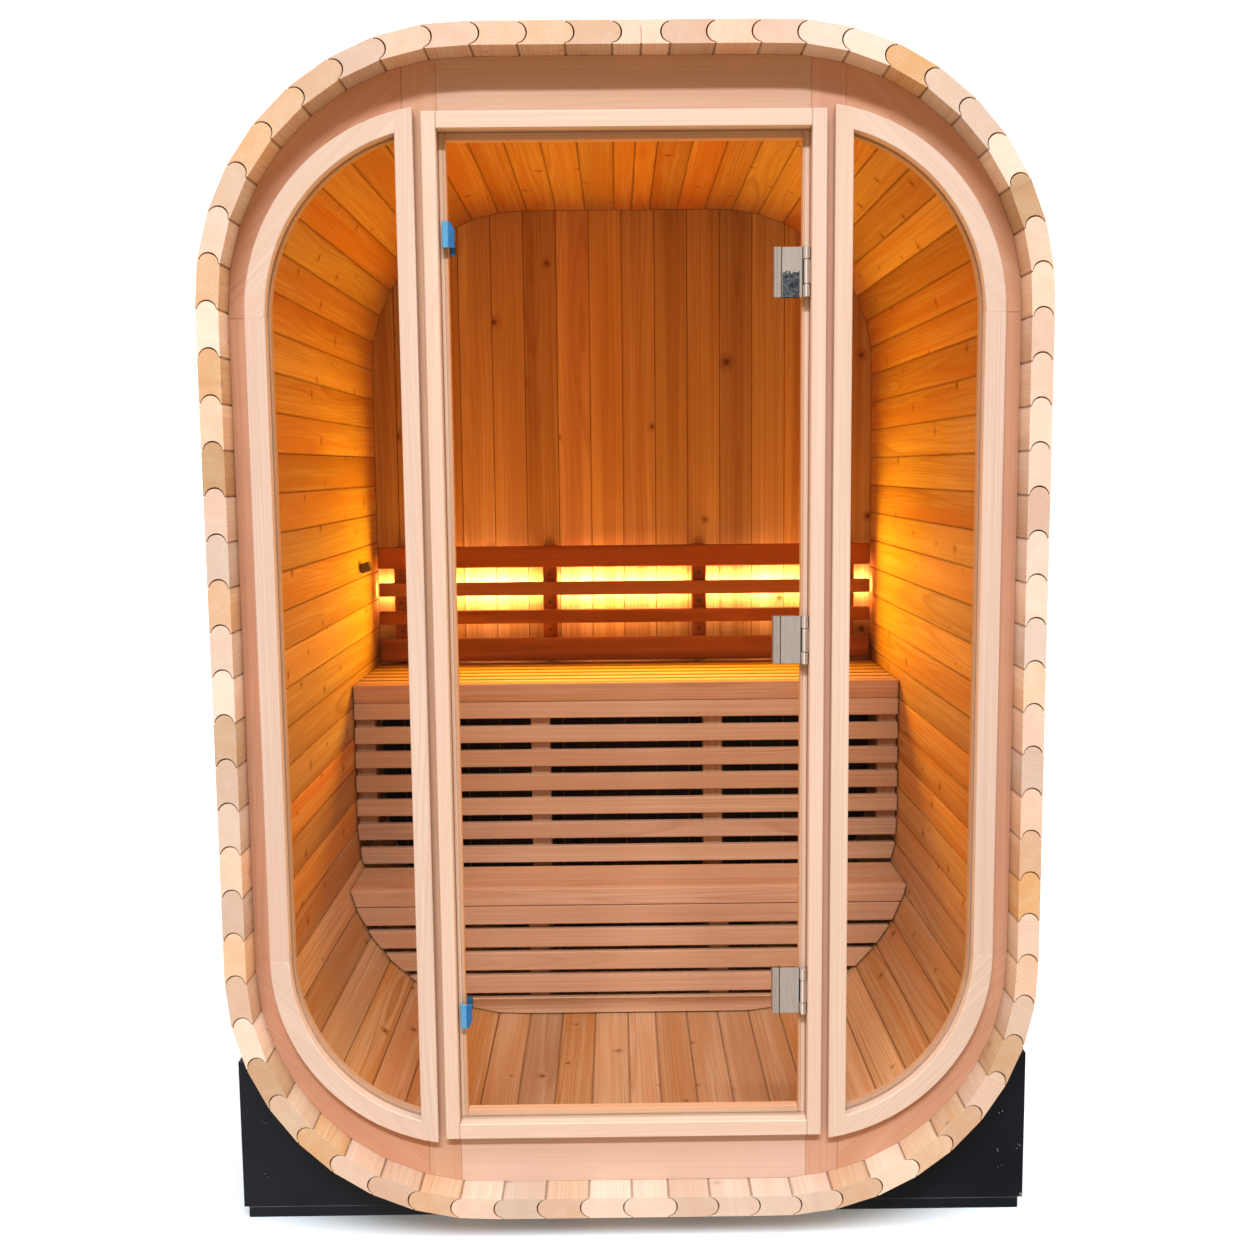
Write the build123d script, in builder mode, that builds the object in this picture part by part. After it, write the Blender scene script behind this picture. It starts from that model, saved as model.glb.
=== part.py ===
import os
from math import cos, pi, sin, sqrt

from build123d import *

# Barrel sauna: a rounded-rectangle shell of bead-and-cove staves lying along Y, closed by a glazed
# front wall and a boarded back wall, with two benches inside, on two painted steel cradles.
# X is to the right seen from the front, Y runs into the cabin from the middle of the shell's length,
# Z is up from the ground. Depths named _y below are measured from the shell's front end.

# Shell
shell_width = 1500
shell_height = 2160
shell_length = 1635
corner_radius = 475
stave_thickness = 40
staves_per_half = 39
half_stave = 50
bottom_stave = 68
butt_joint_x = 30
bead_height = 15
bead_half_chord = 16.9
lip_chamfer = 1.6
stave_gap = 0.8
cove_relief = 1.0

# Front and back walls
wall_setback = 65
wall_thickness = 40
seat_gap = 0.2
board_gap = 0.4
ring_margin = 1

# Door and windows in the front wall, measured from the shell's centre
trim_depth = 22
door_half_width = 330
door_half_height = 913
door_trim_width = 26
door_trim_rail = 30
window_stile_x = 370.5
window_stile_width = 29
window_side_x = 677
window_arc_radius = 362
window_arc_z = 592
window_rim_width = 34
glass_thickness = 8
glazing_rebate = 10
glass_cover = 6
bead_show = 5
bead_depth = 20
stop_width = 13
stop_depth = 20
door_to_stop = 5

# Glass door and its hinges
glass_setback = 64
glass_left_x = -322
glass_right_x = 320
glass_edge_clear = 7
hinge_axis_x = 323
hinge_axis_y = 56
hinge_heights = (-664, 4, 665)
hinge_plate_height = 88
hinge_plate_left = 264
hinge_plate_thickness = 3
hinge_ribs = 2
hinge_rib_width = 5
hinge_rib_pitch = 7.5
hinge_rib_rise = 1.8
hinge_rib_round = 1
hinge_back_right = 308
knuckle_radius = 5.5
knuckle_bore = 2.55
pin_radius = 2.5
middle_knuckle = 42
knuckle_clear = 1.5
notch_clear = 2
leaf_thickness = 3
leaf_back_y = 75
clip_heights = (-708, 735)
clip_height = 46
clip_left = -325
clip_right = -303
clip_grip_width = 11
clip_grip_thickness = 5.5
clip_edge = 1.5
clip_flange = 3
clip_slant_width = 8
clip_slant_height = 14
clip_pad_height = 26
clip_pad_reach = 13
clip_pad_width = 11
clip_pad_depth = 6

# Cabin fittings, heights measured from the shell's centre
bench_front_y = 1090
bench_top_z = -232
slat_thickness = 25
upper_slats = 7
upper_slat_width = 50
upper_slat_pitch = 60
upper_slat_gap = 2
apron_height = 47
apron_thickness = 22
skirt_slats = 7
skirt_slat_height = 43
skirt_pitch = 64
skirt_top_gap = 1
bench_end_gap = 3
bearer_height = 40
bearer_width = 50
bearer_inner_x = 225
bearer_outer_x = 682
post_depth = 40
lower_front_y = 885
lower_top_z = -716
lower_slats = 3
lower_slat_pitch = 61
lower_slat_width = 57
lower_slat_gap = 1
lower_apron_height = 42
lower_skirt_slats = 5
lower_skirt_height = 46
lower_skirt_pitch = 59
lower_skirt_gap = 2
lower_bearer_x = 560
backrest_rails = ((-223, 64), (-117, 38), (-37, 38), (43, 60))
backrest_half_length = 698
rail_thickness = 20
batten_thickness = 40
batten_width = 40
batten_x = (-637, -213, 213, 637)
light_rail = 2
light_height = 18
light_depth = 8
light_end_gap = 1
sensor_y = 1250
sensor_z = 62
sensor_size = (27, 30, 25)
sensor_tilt = 18
sensor_trim = 3
sensor_round = 2

# Cradles
base_height = 40
base_rail_height = 22
cradle_half_width = 757
cradle_top_z = 315
cradle_front_y = 90
cradle_depth = 80
sheet = 3
base_inset = 9
barrel_clear = 1
cradle_hole_radius = 4
cradle_hole_x = 712
cradle_hole_z = (85, 195)

# Worked out from the dimensions above
half_width = shell_width / 2
half_height = shell_height / 2
half_thickness = stave_thickness / 2
flat_half = half_width - corner_radius
corner_z = half_height - corner_radius
inner_x = half_width - stave_thickness
inner_z = half_height - stave_thickness
center_radius = corner_radius - half_thickness
center_z = base_height + half_height
front_end_y = -shell_length / 2
front_y = wall_setback
front_back_y = front_y + wall_thickness
back_inner_y = shell_length - wall_setback - wall_thickness
trim_y = front_y - trim_depth
stop_y = glass_setback + glass_thickness + door_to_stop
corner_arc = center_radius * pi / 2
side_run = 2 * corner_z

os.makedirs("parts", exist_ok=True)


def face_plane(y):
    # Upright plane at depth y, its origin at the height of the shell's centre
    return Plane(origin=(0, front_end_y + y, center_z), x_dir=(1, 0, 0), z_dir=(0, -1, 0))


def save(piece, name):
    piece.part.label = name
    export_step(piece.part, f"parts/{name}.step")


def half_length(side):
    return 2 * (flat_half - side * butt_joint_x) + 2 * corner_arc + side_run


def path_point(u, side):
    # Point, downward direction and outward normal at distance u from the top joint along the
    # centre line of the staves, on the left (side -1) or right (side +1) half
    run = flat_half - side * butt_joint_x
    if u < run:
        point, along = (butt_joint_x + side * u, half_height - half_thickness), (side, 0)
    elif u < run + corner_arc:
        turn = (u - run) / center_radius
        point = (side * (flat_half + center_radius * sin(turn)), corner_z + center_radius * cos(turn))
        along = (side * cos(turn), -sin(turn))
    elif u < run + corner_arc + side_run:
        point = (side * (half_width - half_thickness), corner_z - (u - run - corner_arc))
        along = (0, -1)
    elif u < run + 2 * corner_arc + side_run:
        turn = (u - run - corner_arc - side_run) / center_radius
        point = (side * (flat_half + center_radius * cos(turn)), -corner_z - center_radius * sin(turn))
        along = (-side * sin(turn), -cos(turn))
    else:
        point = (side * (flat_half - (u - run - 2 * corner_arc - side_run)), half_thickness - half_height)
        along = (-side, 0)
    return Vector(*point), Vector(*along), Vector(-side * along[1], side * along[0])


def joints(side):
    pitch = (half_length(side) - half_stave - bottom_stave / 2) / staves_per_half
    return [path_point(half_stave + k * pitch, side) for k in range(staves_per_half + 1)]


def rounded_end(point, along, normal, gap=0, relief=0):
    # Bead or cove across the joint, bulging towards the top joint, from the inner lip to the outer.
    # A cove is larger than its bead by the gap, and deeper at the crown by the relief.
    chord = bead_half_chord + gap
    return ThreePointArc(
        point - normal * chord,
        point - along * (bead_height + gap + relief),
        point + normal * chord,
    )


def lip_points(joint, direction, edge):
    # Shoulder and chamfer at one lip of a stave, from the bead or cove to the board's face
    point, along, normal = joint
    return [
        point + normal * (edge * (half_thickness - lip_chamfer)),
        point + normal * (edge * half_thickness) + direction * lip_chamfer,
    ]


def stave_face(upper, lower):
    # One stave between two joints: a bead on its upper edge and a cove in its lower edge
    foot = (lower[0] - lower[1] * stave_gap, lower[1], lower[2])
    down = (foot[0] - upper[0]).normalized()
    with BuildSketch(mode=Mode.PRIVATE) as face:
        with BuildLine():
            bead = rounded_end(*upper)
            cove = rounded_end(*foot, stave_gap, cove_relief)
            for edge, a, b in ((1, bead @ 1, cove @ 1), (-1, bead @ 0, cove @ 0)):
                Polyline(a, *lip_points(upper, down, edge), *reversed(lip_points(foot, -down, edge)), b)
        make_face()
    return face.sketch


def half_stave_face(side):
    # The narrow stave beside the top joint: a square butt edge and a cove in its lower edge
    lower = joints(side)[0]
    foot = (lower[0] - lower[1] * stave_gap, lower[1], lower[2])
    butt = path_point(stave_gap / 2, side)
    down = foot[1]
    with BuildSketch(mode=Mode.PRIVATE) as face:
        with BuildLine():
            cove = rounded_end(*foot, stave_gap, cove_relief)
            for edge, end in ((1, cove @ 1), (-1, cove @ 0)):
                top_lip = lip_points(butt, down, edge)
                foot_lip = reversed(lip_points(foot, -down, edge))
                Polyline(butt[0], *top_lip, *foot_lip, end)
        make_face()
    return face.sketch


def bottom_stave_face():
    # The lowest stave, with a bead on both edges
    left, right = joints(-1)[-1], joints(1)[-1]
    span = (right[0] - left[0]).normalized()
    with BuildSketch(mode=Mode.PRIVATE) as face:
        with BuildLine():
            left_bead = rounded_end(*left)
            right_bead = rounded_end(*right)
            for edge, a, b in ((1, left_bead @ 1, right_bead @ 1), (-1, left_bead @ 0, right_bead @ 0)):
                Polyline(a, *lip_points(left, span, edge), *reversed(lip_points(right, -span, edge)), b)
        make_face()
    return face.sketch


def stave_group(upper, lower):
    # Which part of the shell a stave belongs to, from where its middle lies
    middle = (upper[0] + lower[0]) / 2
    hand = "left" if middle.X < 0 else "right"
    if abs(middle.Y) < corner_z:
        return f"wall_{hand}_staves"
    level = "roof" if middle.Y > 0 else "floor"
    if abs(middle.X) < flat_half:
        return f"{level}_staves"
    return f"{level}_corner_{hand}_staves"


def inner_outline(gap):
    # Outline of the cabin's cross-section: the staves' inner faces, drawn in by gap
    depth = half_thickness + gap
    straight_limit = 1e-6
    ring = [p - n * depth for p, t, n in joints(-1)] + [p - n * depth for p, t, n in reversed(joints(1))]
    bends = []
    for before, here, after in zip(ring[-1:] + ring[:-1], ring, ring[1:] + ring[:1]):
        if (here - before).normalized().cross((after - here).normalized()).length > straight_limit:
            bends.append(here)
    return bends


def cabin_core(y0, y1, gap):
    # Solid of the cabin's cross-section between two depths, for cutting board ends to the curve
    with BuildPart(mode=Mode.PRIVATE) as core:
        with BuildSketch(face_plane(y0)):
            with BuildLine():
                Polyline(*inner_outline(gap), close=True)
            make_face()
        extrude(amount=y0 - y1)
    return core.part


def box_between(x0, x1, y0, y1, z0, z1, mode=Mode.ADD):
    # Box given by its limits, with heights measured from the shell's centre
    with Locations(((x0 + x1) / 2, front_end_y + (y0 + y1) / 2, center_z + (z0 + z1) / 2)):
        Box(x1 - x0, y1 - y0, z1 - z0, mode=mode)


def window_stile_edge(inset):
    # The stile beside the door is a little narrower than the rest of the rim
    return window_stile_x + inset * window_stile_width / window_rim_width


def window_outline(side, inset):
    # D-shaped window: a straight stile beside the door, a straight side and two arcs, drawn in by
    # inset from the outer edge of its rim
    radius = window_arc_radius - inset
    side_x = window_side_x - inset
    arc_x = window_side_x - window_arc_radius
    stile = window_stile_edge(inset)
    rise = sqrt(radius**2 - (stile - arc_x) ** 2)
    turn = radius * sqrt(0.5)
    with BuildSketch(mode=Mode.PRIVATE) as face:
        with BuildLine():
            Line((side * stile, -window_arc_z - rise), (side * stile, window_arc_z + rise))
            Line((side * side_x, -window_arc_z), (side * side_x, window_arc_z))
            for level in (-1, 1):
                middle = (side * (arc_x + turn), level * (window_arc_z + turn))
                start = (side * stile, level * (window_arc_z + rise))
                ThreePointArc(start, middle, (side * side_x, level * window_arc_z))
        make_face()
    return face.sketch


# Shell staves
stave_ends = {"roof_staves": []}
for side in (-1, 1):
    line = joints(side)
    for upper, lower in zip(line, line[1:]):
        stave_ends.setdefault(stave_group(upper, lower), []).append((upper, lower))

for name, ends in stave_ends.items():
    with BuildPart() as staves:
        with BuildSketch(face_plane(0)):
            for upper, lower in ends:
                add(stave_face(upper, lower))
            if name == "roof_staves":
                add(half_stave_face(-1))
                add(half_stave_face(1))
            if name == "floor_staves":
                add(bottom_stave_face())
        extrude(amount=-shell_length)
    save(staves, name)

# Front wall: header, sill, two mullions and three segments beside each window
opening_inset = window_rim_width - glazing_rebate
mullion_x = window_stile_edge(opening_inset)
ring_x = inner_x + ring_margin
ring_z = inner_z + ring_margin
front_core = cabin_core(front_y, front_back_y, seat_gap)

with BuildPart() as header:
    box_between(-door_half_width, door_half_width, front_y, front_back_y, door_half_height, ring_z)
    add(front_core, mode=Mode.INTERSECT)
save(header, "front_wall_header")

with BuildPart() as sill:
    box_between(-door_half_width, door_half_width, front_y, front_back_y, -ring_z, -door_half_height)
    add(front_core, mode=Mode.INTERSECT)
save(sill, "front_wall_sill")

with BuildPart() as mullions:
    for side in (-1, 1):
        near, far = sorted((side * (door_half_width + board_gap), side * mullion_x))
        box_between(near, far, front_y, front_back_y, -ring_z, ring_z)
    add(front_core, mode=Mode.INTERSECT)
save(mullions, "front_wall_mullions")

for side, hand in ((-1, "left"), (1, "right")):
    with BuildPart() as segments:
        near, far = sorted((side * (mullion_x + board_gap), side * ring_x))
        box_between(near, far, front_y, front_back_y, -ring_z, ring_z)
        add(front_core, mode=Mode.INTERSECT)
        with BuildSketch(face_plane(front_y)):
            add(window_outline(side, opening_inset))
        extrude(amount=-wall_thickness, mode=Mode.SUBTRACT)
        for level in (-1, 1):
            cut_z = level * window_arc_z
            cut = board_gap / 2
            box_between(near, far, front_y, front_back_y, cut_z - cut, cut_z + cut, mode=Mode.SUBTRACT)
    save(segments, f"front_wall_{hand}")

    # Window rim: a stile, two arcs and a straight side, with open joints between them
    with BuildPart() as rim:
        with BuildSketch(face_plane(trim_y)):
            add(window_outline(side, 0))
            add(window_outline(side, window_rim_width), mode=Mode.SUBTRACT)
        extrude(amount=-trim_depth)
        stile_edge = window_stile_x + window_stile_width
        near, far = sorted((side * stile_edge, side * (stile_edge + board_gap)))
        box_between(near, far, trim_y, front_y, -ring_z, ring_z, mode=Mode.SUBTRACT)
        near, far = sorted((side * (stile_edge + board_gap), side * ring_x))
        for level in (-1, 1):
            cut_z = level * window_arc_z
            box_between(near, far, trim_y, front_y, cut_z - cut, cut_z + cut, mode=Mode.SUBTRACT)
    save(rim, f"window_trim_{hand}")

    with BuildPart() as pane:
        with BuildSketch(face_plane(front_y)):
            add(window_outline(side, window_rim_width - glass_cover))
        extrude(amount=-glass_thickness)
    save(pane, f"window_glass_{hand}")

    # Inner bead that holds the pane in the rebate
    with BuildPart() as bead:
        with BuildSketch(face_plane(front_y + glass_thickness)):
            add(window_outline(side, opening_inset + seat_gap))
            add(window_outline(side, window_rim_width + bead_show), mode=Mode.SUBTRACT)
        extrude(amount=-bead_depth)
    save(bead, f"window_bead_{hand}")

# Door trim and stops: stiles run full height, rails fit between them
trim_outer_x = door_half_width + door_trim_width
trim_outer_z = door_half_height + door_trim_rail

with BuildPart() as door_trim:
    for side in (-1, 1):
        near, far = sorted((side * door_half_width, side * trim_outer_x))
        box_between(near, far, trim_y, front_y, -trim_outer_z, trim_outer_z)
        low, high = sorted((side * door_half_height, side * trim_outer_z))
        reach = door_half_width - board_gap
        box_between(-reach, reach, trim_y, front_y, low, high)
save(door_trim, "door_trim")

with BuildPart() as door_stops:
    for side in (-1, 1):
        near, far = sorted((side * (door_half_width - stop_width), side * door_half_width))
        box_between(near, far, stop_y, stop_y + stop_depth, -door_half_height, door_half_height)
        low, high = sorted((side * (door_half_height - stop_width), side * door_half_height))
        reach = door_half_width - stop_width - board_gap
        box_between(-reach, reach, stop_y, stop_y + stop_depth, low, high)
save(door_stops, "door_stops")

# Glass door leaf
glass_back_y = glass_setback + glass_thickness
with BuildPart() as door_glass:
    glass_top = door_half_height - glass_edge_clear
    box_between(glass_left_x, glass_right_x, glass_setback, glass_back_y, -glass_top, glass_top)
save(door_glass, "door_glass")

# Hinges: a rolled plate clamped on the glass, and a jamb leaf with the middle knuckle and the pin
plate_front_y = glass_setback - hinge_plate_thickness
rib_y = plate_front_y - hinge_rib_rise
notch_half = middle_knuckle / 2 + knuckle_clear
notch_reach = knuckle_radius + notch_clear

for name, height in zip(("lower", "middle", "upper"), hinge_heights):
    low = height - hinge_plate_height / 2
    high = height + hinge_plate_height / 2
    with BuildPart() as plate:
        box_between(hinge_plate_left, hinge_axis_x, plate_front_y, glass_setback, low, high)
        for k in range(hinge_ribs):
            rib_left = hinge_plate_left + k * hinge_rib_pitch
            box_between(rib_left, rib_left + hinge_rib_width, rib_y, plate_front_y, low, high)
        fillet(plate.edges().filter_by(Axis.Z).group_by(Axis.Y)[0], hinge_rib_round)
        with Locations((hinge_axis_x, front_end_y + hinge_axis_y, center_z + height)):
            Cylinder(knuckle_radius, hinge_plate_height)
            Cylinder(knuckle_bore, hinge_plate_height, mode=Mode.SUBTRACT)
        notch_left = hinge_axis_x - notch_reach
        notch_right = hinge_axis_x + notch_reach
        notch = (notch_left, notch_right, hinge_axis_y - notch_reach, glass_setback)
        box_between(*notch, height - notch_half, height + notch_half, mode=Mode.SUBTRACT)
        back_y = glass_back_y + hinge_plate_thickness
        box_between(hinge_plate_left, hinge_back_right, glass_back_y, back_y, low, high)
    save(plate, f"hinge_plate_{name}")

with BuildPart() as leaves:
    for height in hinge_heights:
        half = middle_knuckle / 2
        leaf_left = door_half_width - leaf_thickness
        box_between(leaf_left, door_half_width, hinge_axis_y, leaf_back_y, height - half, height + half)
        with Locations((hinge_axis_x, front_end_y + hinge_axis_y, center_z + height)):
            Cylinder(knuckle_radius, middle_knuckle)
            Cylinder(pin_radius, hinge_plate_height)
save(leaves, "hinge_leaves")

# Plastic clips on the free edge of the glass: a thick grip over the edge, a thinner flange with one
# slanted corner, and a pad on the inner face that reaches past the end away from the slant
grip_y = glass_setback - clip_grip_thickness
flange_y = glass_setback - clip_flange
grip_right = clip_left + clip_grip_width
pad_left = clip_right - clip_pad_width
pad_back_y = glass_back_y + clip_pad_depth

for name, height, toward_pad in zip(("lower", "upper"), clip_heights, (1, -1)):
    pad_end = height + toward_pad * clip_height / 2
    slant_end = height - toward_pad * clip_height / 2
    low, high = sorted((pad_end, slant_end))
    with BuildPart() as clip:
        box_between(clip_left, grip_right, grip_y, glass_setback, low, high)
        chamfer(clip.edges().filter_by(Axis.Z).group_by(Axis.Y)[0], clip_edge)
        with BuildSketch(face_plane(flange_y)):
            with BuildLine():
                Polyline(
                    (clip_left, pad_end),
                    (clip_left, slant_end),
                    (clip_right - clip_slant_width, slant_end),
                    (clip_right, slant_end + toward_pad * clip_slant_height),
                    (clip_right, pad_end),
                    close=True,
                )
            make_face()
        extrude(amount=-clip_flange)
        box_between(clip_left, glass_left_x, glass_setback, glass_back_y, low, high)
        pad_tip = pad_end + toward_pad * clip_pad_reach
        pad_low, pad_high = sorted((pad_tip, pad_tip - toward_pad * clip_pad_height))
        box_between(pad_left, clip_right, glass_back_y, pad_back_y, pad_low, pad_high)
    save(clip, f"door_clip_{name}")

# Back wall
with BuildPart() as back_wall:
    add(cabin_core(back_inner_y, back_inner_y + wall_thickness, seat_gap))
save(back_wall, "back_wall")

# Backrest on the back wall: four rails on four battens, with a light strip behind one rail
batten_y = back_inner_y - batten_thickness
rail_y = batten_y - rail_thickness
backrest_low = backrest_rails[0][0]
backrest_high = backrest_rails[-1][0] + backrest_rails[-1][1]

with BuildPart() as rails:
    for low, height in backrest_rails:
        box_between(-backrest_half_length, backrest_half_length, rail_y, batten_y, low, low + height)
save(rails, "backrest_rails")

with BuildPart() as battens:
    for x in batten_x:
        half = batten_width / 2
        box_between(x - half, x + half, batten_y, back_inner_y, backrest_low, backrest_high)
save(battens, "backrest_battens")

with BuildPart() as light:
    light_z = backrest_rails[light_rail][0] + backrest_rails[light_rail][1] / 2
    batten_clear = batten_width / 2 + light_end_gap
    starts = [-backrest_half_length] + [x + batten_clear for x in batten_x]
    ends = [x - batten_clear for x in batten_x] + [backrest_half_length]
    for start, end in zip(starts, ends):
        low = light_z - light_height / 2
        box_between(start, end, batten_y, batten_y + light_depth, low, low + light_height)
save(light, "light_strip")

# Sensor box, tilted, with the corner that meets the wall cut flat against it
with BuildPart() as sensor:
    width, depth, height = sensor_size
    tilt = sensor_tilt * pi / 180
    reach = width / 2 * cos(tilt) + height / 2 * sin(tilt) - sensor_trim
    middle = (reach - inner_x, front_end_y + sensor_y + depth / 2, center_z + sensor_z)
    with Locations(Location(middle, (0, -sensor_tilt, 0))):
        Box(width, depth, height)
    fillet(sensor.edges().filter_by(Axis.Y), sensor_round)
    box_between(-inner_x, 0, sensor_y, sensor_y + depth, 0, 2 * sensor_z, mode=Mode.INTERSECT)
save(sensor, "wall_sensor")

# Upper bench: slats on bearers, an apron and a slatted skirt in front
bench_core = cabin_core(lower_front_y, back_inner_y, bench_end_gap)
frame_core = cabin_core(lower_front_y, back_inner_y, seat_gap)
apron_back_y = bench_front_y + apron_thickness
slat_low = bench_top_z - slat_thickness

with BuildPart() as upper_slats_part:
    for i in range(upper_slats):
        y = apron_back_y + upper_slat_gap + i * upper_slat_pitch
        box_between(-inner_x, inner_x, y, y + upper_slat_width, slat_low, bench_top_z)
    add(bench_core, mode=Mode.INTERSECT)
save(upper_slats_part, "upper_bench_slats")

with BuildPart() as upper_apron:
    low = bench_top_z - apron_height
    box_between(-inner_x, inner_x, bench_front_y, apron_back_y, low, bench_top_z)
    add(bench_core, mode=Mode.INTERSECT)
save(upper_apron, "upper_bench_apron")

with BuildPart() as upper_skirt:
    for i in range(skirt_slats):
        high = bench_top_z - apron_height - skirt_top_gap - i * skirt_pitch
        box_between(-inner_x, inner_x, bench_front_y, apron_back_y, high - skirt_slat_height, high)
    add(bench_core, mode=Mode.INTERSECT)
save(upper_skirt, "upper_bench_skirt")

with BuildPart() as upper_frame:
    for x in (-bearer_outer_x, -bearer_inner_x, bearer_inner_x, bearer_outer_x):
        left, right = x - bearer_width / 2, x + bearer_width / 2
        post_foot = -inner_z if abs(x) == bearer_inner_x else -corner_z
        box_between(left, right, apron_back_y, back_inner_y, slat_low - bearer_height, slat_low)
        box_between(left, right, apron_back_y, apron_back_y + post_depth, post_foot, slat_low)
    add(frame_core, mode=Mode.INTERSECT)
save(upper_frame, "upper_bench_frame")

# Lower bench: a step in front of the upper one, its skirt ends cut to the curve of the floor
lower_apron_back_y = lower_front_y + apron_thickness
lower_slat_low = lower_top_z - slat_thickness

with BuildPart() as lower_slats_part:
    for i in range(lower_slats):
        y = lower_apron_back_y + lower_slat_gap + i * lower_slat_pitch
        box_between(-inner_x, inner_x, y, y + lower_slat_width, lower_slat_low, lower_top_z)
    add(bench_core, mode=Mode.INTERSECT)
save(lower_slats_part, "lower_bench_slats")

with BuildPart() as lower_apron:
    low = lower_top_z - lower_apron_height
    box_between(-inner_x, inner_x, lower_front_y, lower_apron_back_y, low, lower_top_z)
    add(bench_core, mode=Mode.INTERSECT)
save(lower_apron, "lower_bench_apron")

with BuildPart() as lower_skirt:
    for i in range(lower_skirt_slats):
        high = lower_top_z - lower_apron_height - lower_skirt_gap - i * lower_skirt_pitch
        box_between(-inner_x, inner_x, lower_front_y, lower_apron_back_y, high - lower_skirt_height, high)
    add(bench_core, mode=Mode.INTERSECT)
save(lower_skirt, "lower_bench_skirt")

with BuildPart() as lower_frame:
    lower_bearer_low = lower_slat_low - bearer_height
    for x in (-lower_bearer_x, -bearer_inner_x, bearer_inner_x, lower_bearer_x):
        left, right = x - bearer_width / 2, x + bearer_width / 2
        box_between(left, right, lower_apron_back_y, bench_front_y, lower_bearer_low, lower_slat_low)
        if abs(x) == bearer_inner_x:
            post_back_y = lower_apron_back_y + post_depth
            box_between(left, right, lower_apron_back_y, post_back_y, -inner_z, lower_slat_low)
    add(frame_core, mode=Mode.INTERSECT)
save(lower_frame, "lower_bench_frame")

# Cradles: a folded sheet saddle under each end of the barrel, on a base rail
saddle_radius = corner_radius + barrel_clear


def saddle_outline(inset):
    # Front view of a saddle, drawn in by inset from the sheet's outer face, heights from the ground
    radius = saddle_radius + inset
    top = cradle_top_z - inset
    foot = base_rail_height + inset
    edge_x = cradle_half_width - inset
    arc_z = center_z - corner_z
    arc_top_x = flat_half + sqrt(radius**2 - (arc_z - top) ** 2)
    seat = base_height - inset
    turn = radius * sqrt(0.5)
    with BuildSketch(mode=Mode.PRIVATE) as face:
        with BuildLine():
            for side in (-1, 1):
                Polyline((0, foot), (side * edge_x, foot), (side * edge_x, top), (side * arc_top_x, top))
                middle = (side * (flat_half + turn), arc_z - turn)
                arc_foot = (side * flat_half, arc_z - radius)
                ThreePointArc((side * arc_top_x, top), middle, arc_foot)
                Polyline(arc_foot, (side * flat_half, seat), (0, seat))
        make_face()
    return face.sketch


for name, outer_y, inward in (("front", cradle_front_y, 1), ("rear", shell_length - cradle_front_y, -1)):
    ground_plane = Plane(origin=(0, front_end_y + outer_y, 0), x_dir=(1, 0, 0), z_dir=(0, -1, 0))
    with BuildPart() as cradle:
        with BuildSketch(ground_plane):
            add(saddle_outline(0))
        extrude(amount=-inward * cradle_depth)
        with BuildSketch(ground_plane.offset(-inward * sheet)):
            add(saddle_outline(sheet))
        extrude(amount=-inward * cradle_depth, mode=Mode.SUBTRACT)
        holes = [(side * cradle_hole_x, z) for side in (-1, 1) for z in cradle_hole_z]
        with BuildSketch(ground_plane):
            with Locations(*holes):
                Circle(cradle_hole_radius)
        extrude(amount=-inward * sheet, mode=Mode.SUBTRACT)
    save(cradle, f"{name}_cradle")

    with BuildPart() as base_rail:
        middle_y = outer_y + inward * cradle_depth / 2
        with Locations((0, front_end_y + middle_y, base_rail_height / 2)):
            Box(2 * (cradle_half_width - base_inset), cradle_depth, base_rail_height)
    save(base_rail, f"{name}_base_rail")
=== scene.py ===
import math
import random

import bmesh
import bpy
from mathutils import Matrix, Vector


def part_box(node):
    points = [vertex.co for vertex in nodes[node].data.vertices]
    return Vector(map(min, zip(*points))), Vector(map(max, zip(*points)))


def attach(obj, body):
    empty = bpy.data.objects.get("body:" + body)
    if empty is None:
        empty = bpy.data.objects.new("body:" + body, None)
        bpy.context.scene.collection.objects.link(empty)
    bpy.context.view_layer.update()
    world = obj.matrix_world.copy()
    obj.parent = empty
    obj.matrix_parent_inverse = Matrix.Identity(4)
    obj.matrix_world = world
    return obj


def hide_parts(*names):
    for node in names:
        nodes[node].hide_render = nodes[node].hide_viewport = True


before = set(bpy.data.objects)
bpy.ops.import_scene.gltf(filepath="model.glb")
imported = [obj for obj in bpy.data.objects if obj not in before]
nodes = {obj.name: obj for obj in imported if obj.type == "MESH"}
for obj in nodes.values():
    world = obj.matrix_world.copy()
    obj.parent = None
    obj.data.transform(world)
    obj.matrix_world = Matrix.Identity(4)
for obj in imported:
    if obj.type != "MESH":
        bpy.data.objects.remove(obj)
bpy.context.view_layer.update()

scene = bpy.context.scene
mm = 0.001
weldGap = 0.02 * mm
flatAngle = math.radians(0.6)
edgeAngle = math.radians(40)
smoothAngle = math.radians(28)
print("frame loaded:", len(nodes), "solids")


def hexToLinear(code):
    parts = [int(code[i:i + 2], 16) / 255 for i in (1, 3, 5)]
    return [c / 12.92 if c <= 0.04045 else ((c + 0.055) / 1.055) ** 2.4 for c in parts] + [1.0]


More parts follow.
